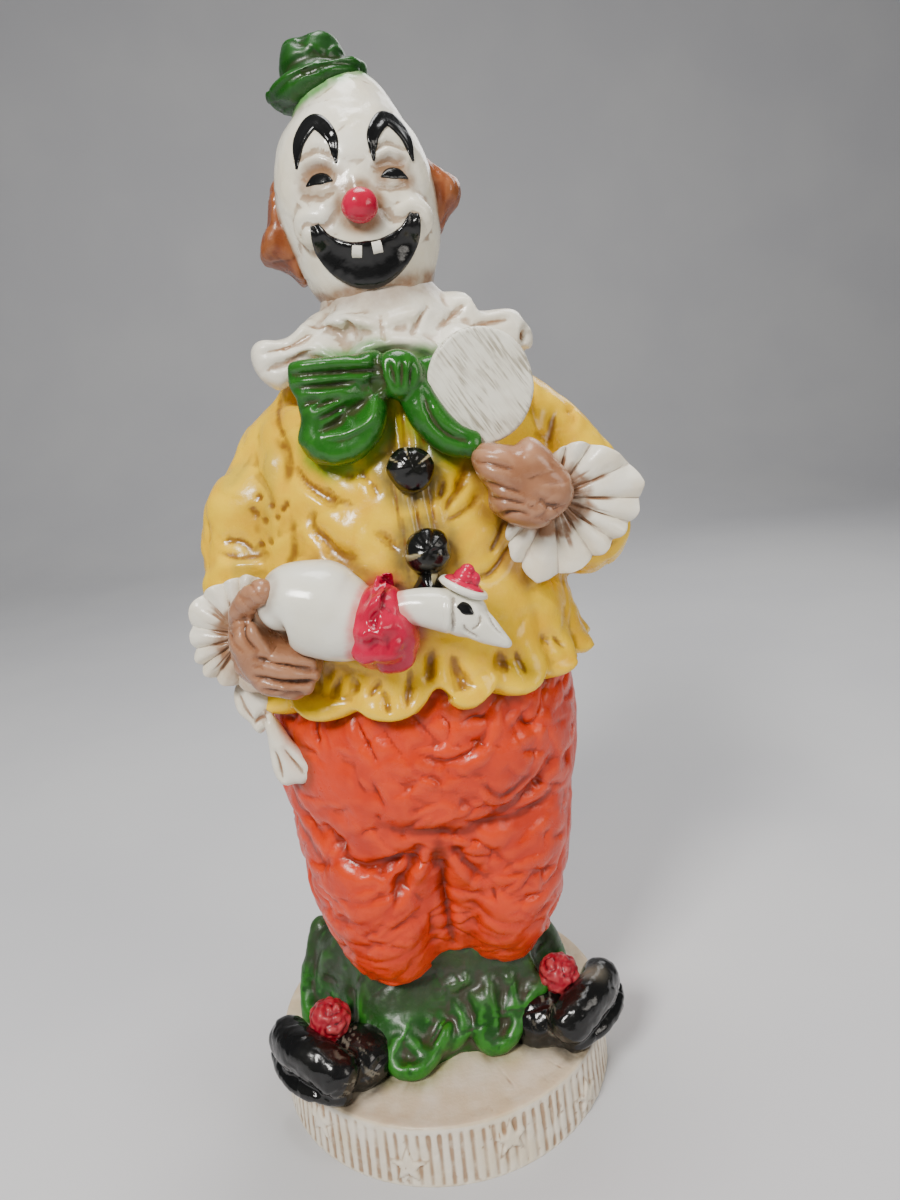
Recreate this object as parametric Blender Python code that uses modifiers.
"""A painted plaster clown holding a goose, cast in one piece with its round starred plinth.

The figure is modelled in units of a hundredth of its own height, counted up from the plinth's top:
+X is the clown's left hand, -Y its front. The plinth has sizes of its own, in metres.
"""

import math

import bmesh
import bpy
import numpy as np
from mathutils import Euler, Matrix, Vector

# Driving sizes, in metres.
FIGURE_HEIGHT = 0.566
PLINTH_RADIUS = 0.105
PLINTH_HEIGHT = 0.039
PLINTH_DRAFT = 0.0015
LIP_HEIGHT = 0.0032
LIP_ROUND = 0.0010
GROOVE_PITCH = 0.0063
GROOVE_DEPTH = 0.0011
STAR_RADIUS = 0.0105
STAR_WAIST = 0.0044
STAR_RELIEF = 0.0013
STAR_PITCH = 0.060
STAR_MARGIN = 0.003
FOOT_SINK = 0.0025

# Fineness of the carved skin: voxels to the figure's height, and the share of faces that is kept.
SKIN_VOXELS = 255
SKIN_KEPT = 0.0335

UNIT = FIGURE_HEIGHT / 100
SINK = FOOT_SINK / UNIT
FRONT = -math.pi / 2

# The fingers, in figure units: how far a knuckle stands out, and the right hand's step between fingers.
KNUCKLE = 0.8
RIGHT_FINGER_STEP = 1.0


def spline(rows, count, closed=False):
    """Reads count rows from a smooth curve through the given rows, or from a closed one."""
    rows = np.asarray(rows, float)
    if closed:
        padded = np.vstack([rows[-1], rows, rows[:2]])
        place = np.arange(count) * len(rows) / count
    else:
        padded = np.vstack([2 * rows[0] - rows[1], rows, 2 * rows[-1] - rows[-2]])
        place = np.linspace(0, len(rows) - 1, count)
    index = np.minimum(place.astype(int), len(padded) - 4)
    part = (place - index)[:, None]
    before, here, there, after = (padded[index + step] for step in range(4))
    bend = 2 * before - 5 * here + 4 * there - after
    twist = 3 * here - before - 3 * there + after
    return here + 0.5 * ((there - before) * part + bend * part**2 + twist * part**3)


def unit(vectors):
    return vectors / np.maximum(np.linalg.norm(vectors, axis=-1, keepdims=True), 1e-9)


def rings_to_faces(rings, around):
    """Quads between neighbouring rings, and a fan to the pole point at each end."""
    faces = []
    for ring in range(rings - 1):
        for step in range(around):
            low, next_low = ring * around + step, ring * around + (step + 1) % around
            faces.append((low, next_low, next_low + around, low + around))
    bottom, top = rings * around, rings * around + 1
    last = (rings - 1) * around
    for step in range(around):
        following = (step + 1) % around
        faces.append((bottom, following, step))
        faces.append((top, last + step, last + following))
    return faces


def loft(rows, around=40, along=40, side=(1, 0, 0), dome=0.7, relief=None):
    """A closed tube through rows of x, y, z, half width along side and half depth, with domed ends.

    relief(angle, share) gives what is added to the radius at an angle and a share of the way along."""
    rows = spline(rows, along)
    centres = rows[:, :3]
    tangents = unit(np.gradient(centres, axis=0))
    across = np.asarray(side, float) - (tangents @ np.asarray(side, float))[:, None] * tangents
    across = unit(across)
    depthwise = np.cross(tangents, across)
    angles = np.arange(around) * math.tau / around
    rings = []

    def ring(index, scale, shift):
        half = np.maximum(rows[index, 3:5], 0.05)
        added = 0 if relief is None else relief(angles, index / (along - 1))
        wide = ((half[0] + added) * np.cos(angles) * scale)[:, None] * across[index]
        deep = ((half[1] + added) * np.sin(angles) * scale)[:, None] * depthwise[index]
        rings.append(centres[index] + shift * tangents[index] + wide + deep)

    turns = np.radians([72, 50, 26])
    first, last = dome * rows[0, 3:5].min(), dome * rows[-1, 3:5].min()
    for turn in turns:
        ring(0, math.cos(turn), -first * math.sin(turn))
    for index in range(along):
        ring(index, 1, 0)
    for turn in turns[::-1]:
        ring(along - 1, math.cos(turn), last * math.sin(turn))
    poles = [centres[0] - first * tangents[0], centres[-1] + last * tangents[-1]]
    return np.vstack(rings + [poles]), rings_to_faces(len(rings), around)


def ball(centre, radii, turn=(0, 0, 0), segments=24):
    """An ellipsoid, turned by angles in degrees."""
    sphere = bmesh.new()
    bmesh.ops.create_uvsphere(sphere, u_segments=segments, v_segments=segments // 2, radius=1)
    turned = Euler([math.radians(angle) for angle in turn]).to_matrix().to_4x4()
    sphere.transform(Matrix.Translation(centre) @ turned @ Matrix.Diagonal((*radii, 1)))
    sphere.verts.ensure_lookup_table()
    points = np.array([vert.co for vert in sphere.verts])
    faces = [tuple(vert.index for vert in face.verts) for face in sphere.faces]
    sphere.free()
    return points, faces


def frill(centre, axis, up, inner, outer, pleats, depth, flare, thickness, around=120, loops=16):
    """A pleated ring about an axis. outer is a radius, or a function of the angle from up."""
    axis = unit(np.asarray(axis, float))
    up = unit(np.asarray(up, float) - np.dot(up, axis) * axis)
    right = np.cross(up, axis)
    points = []
    for step in range(around):
        angle = math.tau * step / around
        reach = outer(angle) if callable(outer) else outer
        pleat = 2 * abs(math.sin(pleats * angle / 2 + 0.5 * math.sin(3 * angle))) - 1
        radial = math.cos(angle) * up + math.sin(angle) * right
        for loop in range(loops):
            turn = math.tau * loop / loops
            share = 0.5 - 0.5 * math.cos(turn)
            lift = flare * share + depth * share * pleat + thickness * math.sin(turn)
            points.append(centre + (inner + (reach - inner) * share) * radial + lift * axis)
    faces = []
    for step in range(around):
        for loop in range(loops):
            here, beside = step * loops, (step + 1) % around * loops
            after = (loop + 1) % loops
            faces.append((here + loop, here + after, beside + after, beside + loop))
    return np.array(points), faces


def outward(points, faces):
    """The normal of each point, from the faces around it."""
    normals = np.zeros_like(points)
    for face in faces:
        corners = points[list(face)]
        normals[list(face)] += np.cross(corners[1] - corners[0], corners[-1] - corners[0])
    return unit(normals)


def carve(shape, strokes, facing=-1):
    """Presses strokes into a shape's front, or with facing 1 its back.

    A stroke is its half width, its depth (below 0 it is a ridge) and the x and z it passes through."""
    points, faces = shape
    normals = outward(points, faces)
    moved = points.copy()
    seen = np.clip(normals[:, 1] * facing * 3, 0, 1)
    for half_width, depth, path in strokes:
        line = spline(path, 8 * len(path))
        gaps = np.linalg.norm(points[:, None, [0, 2]] - line[None], axis=2)
        nearest = gaps.argmin(axis=1)
        fade = np.sin(math.pi * (nearest + 1.5) / (len(line) + 2)) ** 0.5
        press = depth * fade * seen * np.exp(-((gaps.min(axis=1) / half_width) ** 2))
        moved -= press[:, None] * normals
    return moved, faces


def finger(start, end, radius):
    """A finger bent forward at its middle."""
    middle = (np.array(start) + end) / 2 + np.array([0, -KNUCKLE, 0])
    tip = 0.8 * radius
    rows = [(*start, radius, radius), (*middle, radius, radius), (*end, tip, tip)]
    return loft(rows, around=12, along=10, side=(0, 0, 1), dome=0.9)


def tube(path, radius):
    """A rounded tube of one radius along a path."""
    return loft([(*point, radius, radius) for point in path], around=14, along=36, side=(0, 0, 1), dome=0.9)


def pillow(outline, middle, half, edge=0.5, around=48, rings=9):
    """A cushion over an outline of x, z, from half in front of the middle depth to half behind it."""
    border = spline(outline, around, closed=True)
    centre = border.mean(axis=0)
    layers = []
    for turn in np.linspace(-1, 1, rings + 2)[1:-1] * math.pi / 2:
        flat = centre + (border - centre) * math.cos(turn) ** edge
        depth = np.full(around, middle + half * math.sin(turn))
        layers.append(np.column_stack([flat[:, 0], depth, flat[:, 1]]))
    poles = [(centre[0], middle - half, centre[1]), (centre[0], middle + half, centre[1])]
    return np.vstack(layers + [poles]), rings_to_faces(rings, around)


# Each function below returns the closed shapes of one part of the figure, in figure units.


def trousers():
    """A round belly on two baggy legs with a shallow valley between them."""
    belly = [
        (1.2, 0.4, 12.0, 7.6, 7.6),
        (1.2, 0.4, 14.6, 9.2, 9.2),
        (1.3, 0.4, 19.0, 11.2, 10.5),
        (1.3, 0.0, 24.5, 13.6, 11.9),
        (1.4, -0.4, 29.5, 15.2, 13.2),
        (1.5, -0.8, 36.0, 15.6, 13.5),
        (1.5, -0.5, 43.0, 14.6, 12.2),
        (1.5, 0.0, 49.0, 12.5, 10.5),
    ]
    right_leg = [
        (-3.9, 0.9, 10.2, 4.6, 6.0),
        (-4.1, 0.3, 11.6, 5.9, 8.5),
        (-4.5, -0.6, 14.6, 6.7, 10.0),
        (-4.9, -0.8, 18.8, 7.6, 11.2),
        (-5.2, -0.4, 23.5, 7.9, 11.6),
        (-5.0, 0.0, 29.0, 8.6, 10.6),
    ]
    left_leg = [
        (6.6, 0.8, 8.8, 4.0, 4.8),
        (7.0, 0.4, 10.2, 5.3, 7.0),
        (7.3, 0.0, 13.6, 6.4, 9.2),
        (7.8, -0.3, 18.0, 7.2, 10.6),
        (8.2, -0.2, 23.0, 7.6, 11.3),
        (8.2, 0.0, 29.0, 8.2, 10.6),
    ]
    strokes = [
        (2.0, 0.9, [(1.1, 27.7), (1.3, 24.2), (1.2, 21.0), (1.2, 17.7)]),
        (1.4, 1.3, [(-4.7, 30.6), (-2.2, 29.4), (1.4, 28.3), (4.7, 28.2), (7.8, 29.5), (12.5, 32.8)]),
        (1.2, 1.0, [(-9.7, 29.4), (-8.8, 27.9), (-7.5, 26.0), (-4.6, 25.1), (-2.2, 25.8), (-0.6, 27.4)]),
        (1.1, 1.2, [(-0.7, 26.4), (-1.9, 24.0), (-2.8, 22.1), (-3.8, 20.6)]),
        (1.0, 1.0, [(2.6, 26.4), (3.4, 24.5), (5.2, 22.1)]),
        (1.1, 1.1, [(5.0, 28.6), (7.1, 28.2), (10.3, 28.3), (13.3, 29.4)]),
        (0.9, 0.9, [(0.0, 37.5), (1.7, 36.7), (3.5, 36.5), (5.8, 37.2), (7.0, 39.2)]),
        (1.0, -0.5, [(7.7, 39.0), (6.5, 36.8), (4.9, 35.5), (3.4, 34.8)]),
        (0.9, 0.8, [(-8.7, 40.7), (-9.0, 39.3), (-8.7, 38.0)]),
        (0.9, 0.8, [(-4.9, 40.9), (-4.5, 39.4), (-3.9, 37.9), (-3.4, 36.9)]),
        (1.0, 0.8, [(5.7, 33.8), (7.4, 31.6), (8.9, 31.7), (11.2, 33.1)]),
        (1.0, 0.8, [(-11.6, 19.0), (-9.8, 18.4), (-7.2, 18.9), (-3.6, 20.7)]),
        (0.9, 0.7, [(-10.3, 16.6), (-8.0, 15.9), (-5.0, 16.3), (-1.0, 18.3)]),
        (0.9, 0.8, [(2.8, 21.3), (3.9, 18.8), (6.2, 16.7), (9.3, 15.7)]),
        (0.9, 0.8, [(6.4, 23.4), (8.8, 20.7), (12.4, 19.9)]),
    ]
    back_strokes = [
        (2.6, 2.0, [(1.2, 30.0), (1.2, 22.0), (1.0, 15.0), (0.8, 8.0)]),
        (1.4, 1.1, [(-9.0, 27.0), (-4.0, 24.0), (1.2, 25.0), (6.0, 24.0), (11.0, 27.0)]),
        (1.2, 0.9, [(-11.0, 20.0), (-6.0, 17.0), (-1.0, 18.0)]),
        (1.2, 0.9, [(3.0, 18.0), (8.0, 17.0), (12.5, 20.0)]),
        (1.2, 0.8, [(-8.0, 38.0), (-3.0, 35.0), (5.0, 36.0), (10.0, 39.0)]),
    ]
    masses = [loft(rows, around=80, along=56, dome=0.3) for rows in (belly, right_leg, left_leg)]
    return [carve(carve(mass, strokes), back_strokes, facing=1) for mass in masses]


def hem(angle, share):
    """The coat's skirt: flutes that grow towards its lower edge."""
    low = np.clip(1 - share / 0.32, 0, 1)
    flutes = np.abs(np.sin(8.5 * angle + 0.6 * np.sin(2 * angle) + 0.4))
    return low**1.5 * (2.0 * flutes - 0.6)


def coat():
    rows = [
        (1.8, -0.6, 42.4, 17.0, 14.4),
        (1.7, -0.6, 45.0, 16.2, 13.9),
        (1.4, -0.6, 50.5, 15.6, 13.6),
        (1.5, -0.4, 56.0, 15.2, 13.0),
        (2.0, 0.0, 62.0, 14.6, 11.8),
        (2.7, 0.0, 66.0, 13.4, 10.4),
        (2.9, 0.0, 69.5, 11.4, 8.6),
        (2.2, 0.0, 72.5, 9.0, 6.8),
        (1.2, 0.0, 76.0, 5.0, 5.0),
    ]
    strokes = [
        (1.0, 0.9, [(0.0, 62.5), (-3.0, 61.0), (-6.5, 61.5)]),
        (1.0, 0.9, [(0.5, 56.5), (-3.0, 57.0), (-6.0, 60.0)]),
        (1.0, 0.9, [(4.6, 61.0), (6.6, 58.5), (7.2, 56.5)]),
        (1.0, 0.9, [(4.6, 56.5), (8.0, 57.6), (11.0, 56.0)]),
        (1.1, 0.9, [(11.5, 56.0), (9.5, 52.5), (6.5, 50.5)]),
        (1.0, 0.8, [(14.0, 52.0), (11.5, 49.5), (8.5, 48.5)]),
        (0.8, -0.5, [(1.0, 69.0), (1.6, 62.0), (2.2, 56.0), (2.4, 52.0)]),
        (0.8, -0.5, [(2.9, 69.0), (3.4, 62.0), (3.6, 56.0), (3.6, 52.0)]),
    ]
    back_strokes = [
        (1.2, 1.0, [(1.5, 69.0), (1.4, 60.0), (1.5, 52.0)]),
        (1.3, 1.0, [(-9.0, 63.0), (-4.0, 58.0), (1.0, 56.5)]),
        (1.3, 1.0, [(12.5, 63.0), (8.0, 58.0), (2.5, 56.5)]),
        (1.2, 0.9, [(-11.0, 54.0), (-5.0, 51.0), (0.0, 51.0)]),
        (1.2, 0.9, [(14.0, 54.0), (8.0, 51.0), (3.0, 51.0)]),
    ]
    body = loft(rows, around=120, along=64, dome=0.12, relief=hem)
    return [carve(carve(body, strokes), back_strokes, facing=1)]


def sleeve_folds(angle, share):
    """Rings of slack cloth that spiral down a sleeve."""
    slack = np.sin(math.pi * share) ** 0.5
    return 0.35 * slack * np.sin(17 * share + 1.5 * np.sin(angle + 0.6))


def sleeves():
    right_arm = [
        (-6.0, 0.5, 67.0, 4.4, 4.4),
        (-9.4, 0.2, 62.0, 5.3, 5.2),
        (-12.2, -0.8, 57.0, 5.8, 5.4),
        (-13.2, -3.2, 52.0, 5.4, 4.8),
        (-13.8, -6.0, 49.6, 3.8, 3.6),
    ]
    left_arm = [
        (11.0, 0.5, 66.5, 4.8, 4.8),
        (16.4, 0.0, 61.4, 5.3, 5.2),
        (18.6, -1.4, 55.4, 5.4, 5.1),
        (17.7, -4.2, 54.7, 5.2, 4.8),
        (15.2, -7.2, 57.6, 4.0, 3.6),
    ]
    return [loft(arm, around=36, along=36, relief=sleeve_folds) for arm in (right_arm, left_arm)]


def cuffs():
    """Frilled cuffs: fans of pleats that spread from the wrists."""
    left_turns = [0, 48, 72, 85, 108, 124, 152, 175, 195, 215, 250, 300, 340]
    left_reaches = [3.7, 5.9, 7.1, 7.6, 7.3, 6.7, 6.5, 7.0, 7.6, 6.6, 4.2, 3.2, 3.4]

    def right_reach(angle):
        return 5.3 + 0.15 * math.sin(5 * angle)

    def left_reach(angle):
        return np.interp(math.degrees(angle), left_turns, left_reaches, period=360)

    right = frill(
        np.array([-14.0, -10.2, 49.2]), (-0.15, -0.98, 0.05), (0, 0, 1), 0.8, right_reach,
        12, 0.6, -0.5, 0.6,
    )
    left = frill(
        np.array([14.6, -11.2, 59.0]), (-0.1, -0.98, -0.05), (0, 0, 1), 0.8, left_reach, 14, 0.6, 0.2, 0.6
    )
    return [right, left]


def hands():
    """The left hand seen from its back, its fingers closed; the right one with a thumb and four fingers."""
    left_back = [
        (7.5, 63.2), (8.0, 64.1), (9.4, 64.3), (11.1, 63.9), (12.4, 64.4), (13.4, 63.9), (14.8, 62.2),
        (15.8, 60.6), (15.7, 58.9), (14.5, 57.6), (13.1, 56.8), (11.4, 56.9), (10.0, 57.7), (8.8, 58.8),
        (8.8, 60.4), (8.0, 61.8),
    ]
    right_palm = [
        (-12.4, 53.6), (-13.7, 52.6), (-14.5, 50.9), (-14.6, 49.1), (-13.9, 47.1), (-12.8, 45.4),
        (-11.0, 44.8), (-9.6, 45.8), (-9.6, 48.0), (-11.2, 49.0), (-12.1, 50.4), (-12.0, 52.0),
    ]
    right_thumb = [(-13.4, -13.0, 50.4), (-13.0, -14.6, 52.4), (-11.7, -15.8, 53.9), (-10.9, -16.2, 54.3)]
    grooves = [
        (0.35, 0.5, [(7.8, 63.0), (8.9, 62.9), (10.4, 62.3)]),
        (0.35, 0.5, [(8.0, 61.5), (9.2, 61.0), (10.9, 60.4)]),
        (0.35, 0.5, [(8.7, 60.0), (9.8, 59.8), (11.2, 59.4)]),
    ]
    right_wrist = ball((-12.9, -11.6, 47.6), (2.3, 2.4, 2.6))
    shapes = [pillow(right_palm, -13.6, 2.4), carve(pillow(left_back, -12.9, 2.5), grooves), right_wrist]
    shapes.append(tube(right_thumb, 1.0))
    for index, (x, z) in enumerate([(-7.9, 47.5), (-7.9, 46.6), (-8.5, 45.7), (-9.4, 44.9)]):
        shapes.append(finger((-12.6, -14.6, 48.4 - RIGHT_FINGER_STEP * index), (x, -15.4, z), 0.75))
    return shapes


def disc():
    """A flat round disc that the left hand holds up."""
    rows = [(8.9, -10.4, 69.0, 4.55, 4.9), (8.9, -11.6, 69.0, 4.55, 4.9)]
    return [loft(rows, around=40, along=2, dome=0.03)]


def bow():
    """Two folded loops, one over the other, a knot, a loop behind the disc and a tail."""
    upper = [
        (-7.0, 71.8), (-6.5, 72.4), (-4.2, 72.5), (-1.7, 72.6), (0.7, 72.7), (1.4, 71.2), (0.6, 70.0),
        (-0.3, 69.6), (-2.1, 69.2), (-4.6, 69.2), (-6.5, 69.4), (-7.1, 70.5),
    ]
    lower = [
        (-6.3, 69.9), (-6.5, 67.6), (-6.9, 66.0), (-6.3, 64.5), (-4.9, 63.7), (-3.2, 63.7), (-1.7, 64.3),
        (-0.3, 65.3), (0.6, 66.9), (1.0, 68.6), (0.6, 70.2), (-3.0, 70.4),
    ]
    tail = [
        (3.2, -11.2, 69.4, 1.2, 1.5),
        (4.2, -11.8, 67.0, 1.3, 1.6),
        (6.0, -12.0, 65.0, 1.3, 1.5),
        (7.9, -12.2, 64.2, 0.9, 1.2),
    ]
    far_loop = [(3.2, -10.4, 70.4, 1.2, 1.3), (5.0, -10.0, 70.2, 1.2, 1.7), (9.0, -8.8, 69.6, 1.0, 1.7)]
    folds = [
        (0.6, 1.0, [(-6.6, 71.2), (-3.5, 71.1), (-1.0, 71.0), (0.2, 71.0)]),
        (1.1, 1.5, [(-0.1, 69.6), (-1.5, 68.5), (-2.6, 67.9)]),
        (0.6, 0.7, [(-4.9, 67.7), (-3.9, 68.0), (-3.2, 68.4), (-2.5, 68.8)]),
    ]
    loops = [carve(pillow(upper, -10.4, 2.0), folds), carve(pillow(lower, -10.6, 2.4), folds)]
    ends = [loft(end, around=28, along=20, side=(0, 1, 0)) for end in (tail, far_loop)]
    return loops + ends + [ball((2.3, -11.6, 70.6), (1.75, 1.6, 2.0))]


def buttons():
    upper = [ball(place, (1.9, 1.5, 1.9)) for place in ((2.35, -12.9, 62.8), (2.95, -14.4, 56.0))]
    return upper + [ball((2.8, -14.6, 52.4), (1.3, 1.2, 1.7))]


def collar():
    """A ruffle in two layers about the neck, its ends folded over at the shoulders."""

    def wide_reach(angle):
        return 11.2 + 1.3 * abs(math.sin(angle)) ** 3 - 1.9 * math.cos(angle) ** 2

    right_end = [
        (-4.6, 76.0), (-6.4, 75.0), (-7.7, 74.5), (-9.7, 74.6), (-10.6, 73.8), (-10.6, 72.7), (-10.0, 71.2),
        (-8.9, 70.4), (-8.2, 70.3), (-6.6, 71.2), (-4.0, 71.8), (-2.0, 73.0),
    ]
    left_end = [
        (5.6, 75.0), (6.6, 76.9), (8.0, 77.3), (9.4, 77.0), (9.6, 76.0), (10.4, 75.4), (12.4, 75.5),
        (13.8, 75.1), (14.5, 74.2), (15.1, 73.3), (15.0, 72.0), (14.2, 71.4), (12.6, 71.9), (9.6, 70.8),
        (5.6, 71.6),
    ]
    neck = [
        (1.8, -0.6, 70.5, 8.0, 8.6),
        (1.6, -0.8, 73.2, 7.6, 8.6),
        (1.4, -0.8, 75.4, 6.4, 7.0),
        (0.8, -0.6, 79.0, 4.6, 4.8),
    ]
    up, back = (0, 0, 1), (0, 1, 0)
    return [
        frill(np.array([1.8, -0.4, 74.0]), up, back, 3.0, wide_reach, 9, 1.0, -1.6, 0.9, around=144),
        frill(np.array([1.3, -0.8, 76.0]), up, back, 3.0, 7.6, 8, 0.6, -1.0, 0.9, around=144),
        pillow(right_end, -4.4, 2.3, edge=0.35),
        pillow(left_end, -2.6, 2.3, edge=0.35),
        loft(neck, along=20),
    ]


def head():
    rows = [
        (1.1, -1.0, 76.8, 5.0, 5.4),
        (1.1, -0.9, 79.4, 6.1, 6.5),
        (0.8, -0.7, 82.5, 6.9, 7.1),
        (0.2, -0.4, 86.5, 7.3, 7.4),
        (-0.2, 0.0, 90.2, 6.4, 6.7),
        (-0.5, 0.2, 93.2, 4.8, 5.2),
        (-1.2, 0.3, 95.4, 3.4, 3.8),
    ]
    skull = loft(rows, around=56, along=40, dome=0.5)
    nose = ball((0.2, -8.1, 84.6), (1.45, 1.5, 1.4))
    lips = frill(np.array([0.4, -6.6, 81.6]), (0, -1, 0.12), (0, 0, 1), 1.6, 3.6, 0, 0, 0.2, 0.9)
    return [skull, nose, lips]


def hair():
    """A pointed tuft over each ear, joined by a fringe round the back."""
    left_tuft = [
        (5.0, 90.6), (6.3, 89.9), (7.6, 88.8), (9.1, 87.8), (9.95, 87.0), (10.0, 85.8), (9.5, 84.9),
        (8.5, 83.9), (7.6, 82.6), (6.2, 81.6), (5.0, 84.0),
    ]
    right_tuft = [
        (-5.6, 89.0), (-7.2, 88.4), (-7.7, 86.9), (-8.1, 84.8), (-8.8, 83.5), (-9.2, 82.3), (-9.0, 81.5),
        (-7.9, 81.0), (-6.6, 80.3), (-5.2, 79.2), (-4.2, 82.0), (-4.8, 86.0),
    ]
    fringe = [(-6.6, 3.0, 84.5), (-4.0, 6.4, 83.5), (0.4, 7.6, 83.5), (4.6, 6.4, 84.5), (7.0, 3.0, 85.5)]
    shapes = [pillow(tuft, 1.4, 3.4, edge=0.6) for tuft in (left_tuft, right_tuft)]
    shapes.append(loft([(*point, 2.4, 1.1) for point in fringe], around=20, along=30, side=(0, 0, 1)))
    return shapes


def hat():
    """A small hat with a thick rolled brim and a dented crown, tipped to the clown's right."""
    brim = frill(
        np.array([-1.8, 0.2, 94.7]), (-0.2, 0, 1), (0, 1, 0), 1.0, 4.75, 0, 0, 1.2, 1.3, around=48
    )
    crown = [
        (-1.8, 0.2, 94.6, 3.3, 3.2),
        (-2.1, 0.2, 96.4, 3.2, 3.1),
        (-2.3, 0.2, 97.9, 3.0, 2.9),
        (-2.4, 0.2, 98.9, 2.6, 2.5),
    ]
    dents = [
        (0.8, 0.8, [(-3.2, 98.0), (-3.1, 99.0), (-3.0, 99.8)]),
        (0.7, 0.6, [(-0.6, 98.2), (-1.0, 99.0), (-1.2, 99.8)]),
    ]
    return [brim, carve(loft(crown, around=32, along=16, dome=0.4), dents)]


def goose():
    body = [
        (-10.4, -14.4, 52.6, 2.4, 2.1),
        (-9.0, -14.6, 53.0, 3.4, 3.3),
        (-7.0, -14.8, 52.3, 3.9, 4.2),
        (-5.0, -15.2, 51.3, 3.8, 3.9),
        (-3.0, -15.8, 50.9, 3.2, 3.2),
        (-1.0, -16.4, 51.2, 2.2, 2.2),
        (0.6, -16.8, 51.9, 1.5, 1.5),
        (2.2, -17.0, 51.8, 1.7, 1.7),
        (4.0, -17.0, 51.3, 1.9, 1.9),
    ]
    beak = [
        (5.4, -17.4, 50.8, 1.6, 1.6),
        (7.0, -17.8, 49.5, 1.1, 1.25),
        (8.4, -18.0, 48.4, 0.7, 0.6),
        (8.8, -18.0, 48.1, 0.45, 0.4),
    ]
    scarf = [
        (-3.1, -15.8, 51.1, 3.1, 3.0),
        (-2.3, -16.0, 50.8, 3.7, 3.9),
        (-1.5, -16.2, 50.6, 3.1, 3.3),
        (-0.7, -16.4, 50.6, 3.7, 4.0),
        (0.3, -16.6, 50.9, 2.7, 3.0),
    ]
    return [
        loft(body, around=36, along=44, side=(0, 1, 0)),
        loft(beak, around=20, along=16, side=(0, 1, 0)),
        loft(scarf, around=48, along=24, side=(0, 1, 0), dome=0.3),
        ball((5.3, -17.0, 50.9), (2.1, 1.9, 2.0), (0, 25, 0)),
        ball((5.5, -17.0, 53.1), (2.3, 1.9, 0.8), (0, 28, 0)),
        ball((5.9, -17.2, 54.3), (1.3, 1.2, 1.1)),
    ]


def goose_feet():
    upper = [
        (-15.0, 44.2), (-15.9, 43.9), (-16.4, 42.9), (-16.3, 41.3), (-15.4, 40.0), (-14.9, 39.0),
        (-14.2, 38.7), (-12.8, 40.7), (-12.8, 42.0), (-13.6, 43.2),
    ]
    lower = [
        (-13.8, 41.2), (-13.7, 38.6), (-13.7, 35.7), (-13.3, 34.1), (-12.6, 33.5), (-11.6, 33.6),
        (-10.8, 33.5), (-9.8, 34.2), (-9.4, 35.2), (-10.4, 36.4), (-11.6, 38.1), (-12.8, 40.6),
    ]
    return [pillow(upper, -7.6, 1.7, edge=0.55), pillow(lower, -8.9, 1.4, edge=0.55)]


def shoe(cap, sole, vamp, pompom):
    """A big shoe: a fat toe cap over a rolled sole, the vamp behind it, and a woolly ball on top."""
    welt = loft([(*point, 1.0, 1.4) for point in sole], around=20, along=24, side=(0, 0, 1), dome=0.9)
    heel = ((cap[2][0] + vamp[0]) / 2, (cap[2][1] + vamp[1]) / 2, 0.9)
    return [
        loft([(*point, 2.1, 1.95) for point in cap], around=28, along=24, side=(0, 0, 1), dome=0.9),
        welt,
        ball(vamp, (3.7, 3.5, 3.0)),
        ball(heel, (3.4, 3.4, 0.9 + SINK)),
        ball(pompom, (2.1, 2.0, 2.05)),
    ]


def shoes():
    right = shoe(
        [(-16.5, -7.2, 3.9), (-15.3, -9.1, 4.3), (-13.9, -10.6, 4.3), (-12.3, -11.8, 3.9),
         (-10.9, -12.6, 3.2)],
        [(-17.7, -6.5, 1.3), (-16.8, -9.2, 1.1), (-15.1, -11.3, 1.0), (-13.0, -12.7, 1.0),
         (-10.9, -13.1, 0.9)],
        (-9.6, -9.0, 1.5),
        (-12.0, -8.0, 5.7),
    )
    left = shoe(
        [(12.6, -10.0, 3.1), (13.7, -9.4, 3.9), (15.0, -8.5, 4.3), (16.5, -6.9, 4.4), (17.5, -5.1, 4.1)],
        [(12.9, -10.5, 0.9), (14.6, -9.8, 1.0), (16.8, -8.3, 1.1), (18.5, -6.2, 1.4), (19.0, -4.2, 1.8)],
        (10.6, -6.6, 1.5),
        (12.9, -5.8, 5.8),
    )
    return right + left


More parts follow.
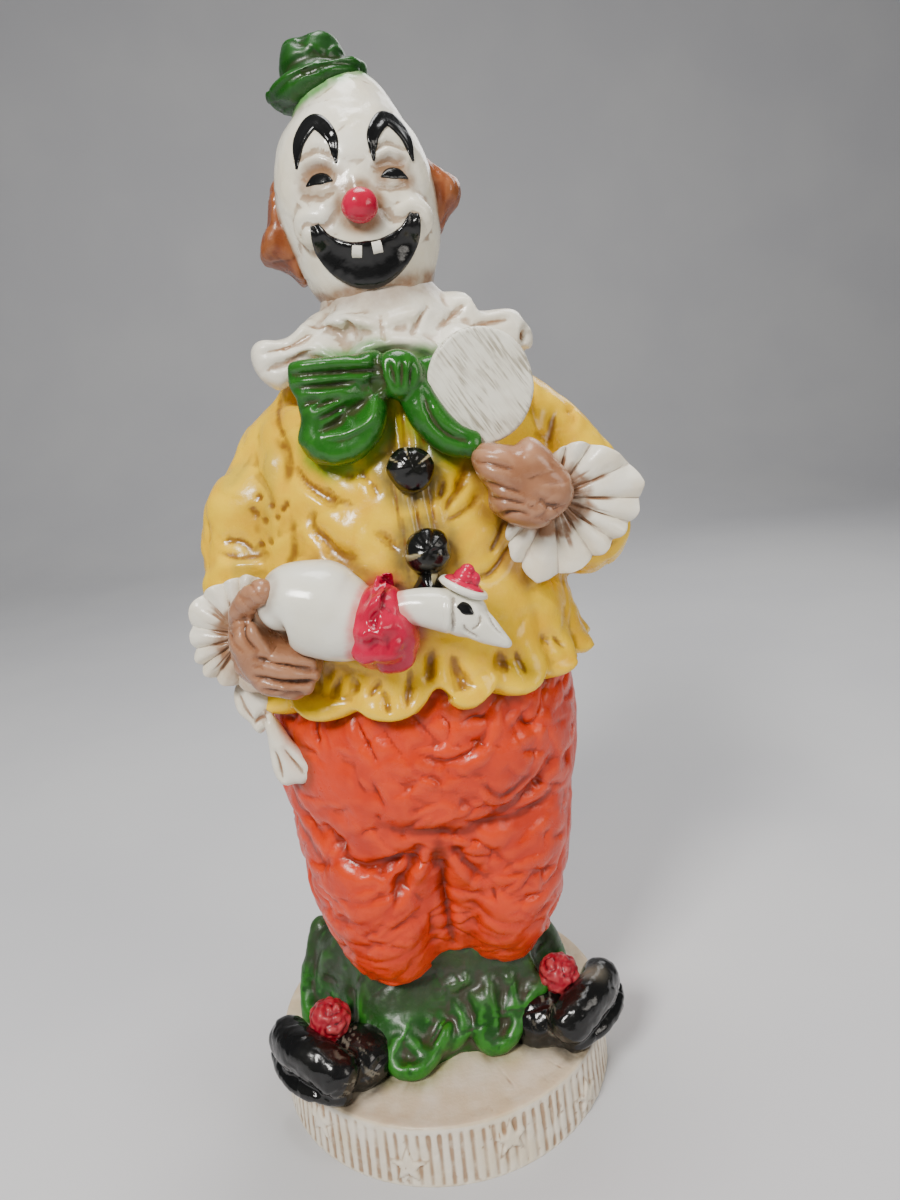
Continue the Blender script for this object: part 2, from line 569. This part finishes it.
def ruffle():
    """The gathered green mass between the trousers and the plinth, its hem draped forward and curling."""

    def gathers(angle, share):
        return (1 - 0.5 * share) * 0.5 * np.sin(13 * angle + 1.2 * np.sin(2 * angle))

    mass = loft(
        [(-0.5, 1.4, -SINK, 14.4, 9.0), (-0.5, 1.3, 1.6, 14.2, 8.0), (-0.4, 1.2, 4.5, 13.8, 7.0),
         (0.2, 0.8, 8.0, 13.0, 6.9), (0.6, 0.6, 12.0, 10.5, 7.4)],
        around=110, along=24, dome=0.1, relief=gathers,
    )
    hem_places = [
        (-8.8, -7.6), (-6.6, -9.6), (-4.6, -10.2), (-2.6, -9.8), (-0.6, -8.6), (1.6, -8.0), (4.2, -8.3),
        (6.2, -8.3), (8.4, -6.9), (10.4, -6.0),
    ]
    drapes = [
        tube([(0.85 * x, -4.4, 8.6), (0.93 * x, 0.5 * y - 2.2, 4.4), (x, y, 0.5)], 1.5)
        for x, y in hem_places
    ]
    curls = [
        [(-9.6, -4.0, 1.2), (-8.0, -4.6, 2.4), (-6.2, -5.1, 3.0), (-5.1, -6.2, 3.0), (-4.9, -7.6, 2.5),
         (-5.5, -8.9, 1.8), (-5.7, -9.6, 1.2), (-4.9, -10.3, 0.9), (-3.3, -10.6, 0.9), (-2.1, -9.8, 1.1),
         (-0.8, -8.4, 1.6), (0.0, -7.2, 2.2)],
        [(0.0, -5.9, 4.5), (-2.5, -5.7, 4.2), (-3.3, -6.0, 3.8), (-3.9, -7.1, 3.0), (-3.5, -8.4, 2.0),
         (-2.0, -9.1, 1.4)],
        [(0.3, -5.5, 4.8), (1.0, -5.7, 4.2), (1.8, -6.4, 3.4), (1.9, -7.4, 2.4), (1.0, -7.8, 1.8),
         (-0.4, -7.9, 1.4)],
        [(3.7, -6.5, 4.0), (4.1, -7.4, 2.8), (3.6, -8.0, 1.8), (4.3, -8.4, 1.1), (5.7, -8.5, 0.9),
         (7.1, -7.9, 1.4), (8.3, -6.4, 2.8), (9.2, -6.0, 3.8), (11.0, -5.6, 4.4)],
    ]
    panels = [
        [(-13.1, 3.6, 9.4), (-14.2, 2.0, 6.4), (-15.0, 0.6, 3.6), (-15.0, -1.0, 1.0)],
        [(11.9, -0.2, 8.4), (12.9, 0.2, 6.6), (13.6, 0.4, 4.0), (14.2, 0.8, 1.0)],
    ]
    bed = [
        (-8.6, -5.8, 0.3, 2.2, 1.7),
        (-4.6, -7.5, 0.3, 3.0, 1.9),
        (-0.6, -6.4, 0.3, 2.6, 1.9),
        (3.0, -6.0, 0.3, 2.4, 1.9),
        (6.2, -6.2, 0.3, 2.6, 1.9),
        (9.6, -4.8, 0.3, 2.2, 1.7),
    ]
    under = loft(bed, around=20, along=30, side=(0, 1, 0))
    return [mass, under] + drapes + [tube(path, 0.95) for path in curls + panels]


def to_object(name, shapes, collection):
    """One mesh object, in metres, of shapes given in figure units above the plinth's top."""
    clay = bmesh.new()
    for points, faces in shapes:
        verts = [clay.verts.new(Vector(point) * UNIT + Vector((0, 0, PLINTH_HEIGHT))) for point in points]
        for face in faces:
            clay.faces.new([verts[index] for index in face])
    bmesh.ops.recalc_face_normals(clay, faces=clay.faces)
    mesh = bpy.data.meshes.new(name)
    clay.to_mesh(mesh)
    clay.free()
    figure = bpy.data.objects.new(name, mesh)
    collection.objects.link(figure)
    return figure


def plinth_rings():
    """The drum's grooved side, from its underside to its flat top inside the lip."""
    pairs = round(math.tau * PLINTH_RADIUS / GROOVE_PITCH)
    around = 2 * pairs
    angles = np.arange(around) * math.tau / around
    valley = np.arange(around) % 2 * GROOVE_DEPTH
    top_radius = PLINTH_RADIUS - PLINTH_DRAFT
    lip_base = PLINTH_HEIGHT - LIP_HEIGHT
    stations = [
        (PLINTH_RADIUS, 0.0, valley),
        (top_radius, lip_base, valley),
        (top_radius, lip_base + GROOVE_DEPTH, 0 * valley),
        (top_radius - LIP_ROUND, PLINTH_HEIGHT, 0 * valley),
    ]
    rings = []
    for radius, height, cut in stations:
        reach = radius - cut
        rings.append(np.column_stack([reach * np.cos(angles), reach * np.sin(angles), 0 * angles + height]))
    poles = [(0, 0, 0), (0, 0, PLINTH_HEIGHT)]
    return np.vstack(rings + [poles]), rings_to_faces(len(rings), around)


def star_shapes():
    """Five-pointed stars laid round the drum, by turns higher and lower."""
    count = round(math.tau * PLINTH_RADIUS / STAR_PITCH)
    band = PLINTH_HEIGHT - LIP_HEIGHT
    rise = band / 2 - STAR_RADIUS - STAR_MARGIN
    shapes = []
    for index in range(count):
        middle = FRONT + math.tau * (index - 1.5) / count
        height = band / 2 + rise * (-1) ** index
        corners = []
        for corner in range(10):
            reach = STAR_RADIUS if corner % 2 == 0 else STAR_WAIST
            turn = math.tau * corner / 10
            corners.append((reach * math.sin(turn), reach * math.cos(turn)))
        points = []
        for radius in (PLINTH_RADIUS - 3 * STAR_RELIEF, PLINTH_RADIUS + STAR_RELIEF):
            for along, rise in corners + [(0, 0)]:
                angle = middle + along / PLINTH_RADIUS
                points.append((radius * math.cos(angle), radius * math.sin(angle), height + rise))
        faces = []
        for corner in range(10):
            beside = (corner + 1) % 10
            faces.append((corner, beside, beside + 11, corner + 11))
            faces.append((beside, corner, 10))
            faces.append((corner + 11, beside + 11, 21))
        shapes.append((np.array(points), faces))
    return shapes


def plain_object(name, shapes, collection):
    """One hidden mesh object of shapes given in metres."""
    tool = bmesh.new()
    for points, faces in shapes:
        verts = [tool.verts.new(point) for point in points]
        for face in faces:
            tool.faces.new([verts[index] for index in face])
    bmesh.ops.recalc_face_normals(tool, faces=tool.faces)
    mesh = bpy.data.meshes.new(name)
    tool.to_mesh(mesh)
    tool.free()
    helper = bpy.data.objects.new(name, mesh)
    helper.hide_render = True
    helper.display_type = "WIRE"
    collection.objects.link(helper)
    return helper


def plaster_paint():
    """The ivory paint that covers most of the plaster."""
    material = bpy.data.materials.new("ivory_paint")
    material.use_nodes = True
    shader = material.node_tree.nodes["Principled BSDF"]
    shader.inputs["Base Color"].default_value = (0.78, 0.70, 0.56, 1)
    shader.inputs["Roughness"].default_value = 0.35
    shader.inputs["Metallic"].default_value = 0.0
    return material


def main():
    for item in list(bpy.data.objects):
        bpy.data.objects.remove(item)
    figures = bpy.data.collections.new("clown_figurine")
    helpers = bpy.data.collections.new("cutters")
    for collection in (figures, helpers):
        bpy.context.scene.collection.children.link(collection)

    parts = (
        trousers, coat, sleeves, cuffs, hands, disc, bow, buttons, collar,
        head, hair, hat, goose, goose_feet, shoes, ruffle,
    )
    shapes = [shape for part in parts for shape in part()]
    clown = to_object("clown_figurine", shapes, figures)
    clown.data.materials.append(plaster_paint())

    skin = clown.modifiers.new("skin", "REMESH")
    skin.mode = "VOXEL"
    skin.voxel_size = FIGURE_HEIGHT / SKIN_VOXELS
    soften = clown.modifiers.new("soften", "SMOOTH")
    soften.factor = 0.5
    soften.iterations = 3
    facets = clown.modifiers.new("facets", "DECIMATE")
    facets.ratio = SKIN_KEPT

    drum = plain_object("plinth_drum", [plinth_rings()], helpers)
    stars = plain_object("plinth_stars", star_shapes(), helpers)
    for name, helper in (("drum", drum), ("stars", stars)):
        joined = clown.modifiers.new(name, "BOOLEAN")
        joined.operation = "UNION"
        joined.solver = "EXACT"
        joined.object = helper
    clown.data.shade_smooth()


main()
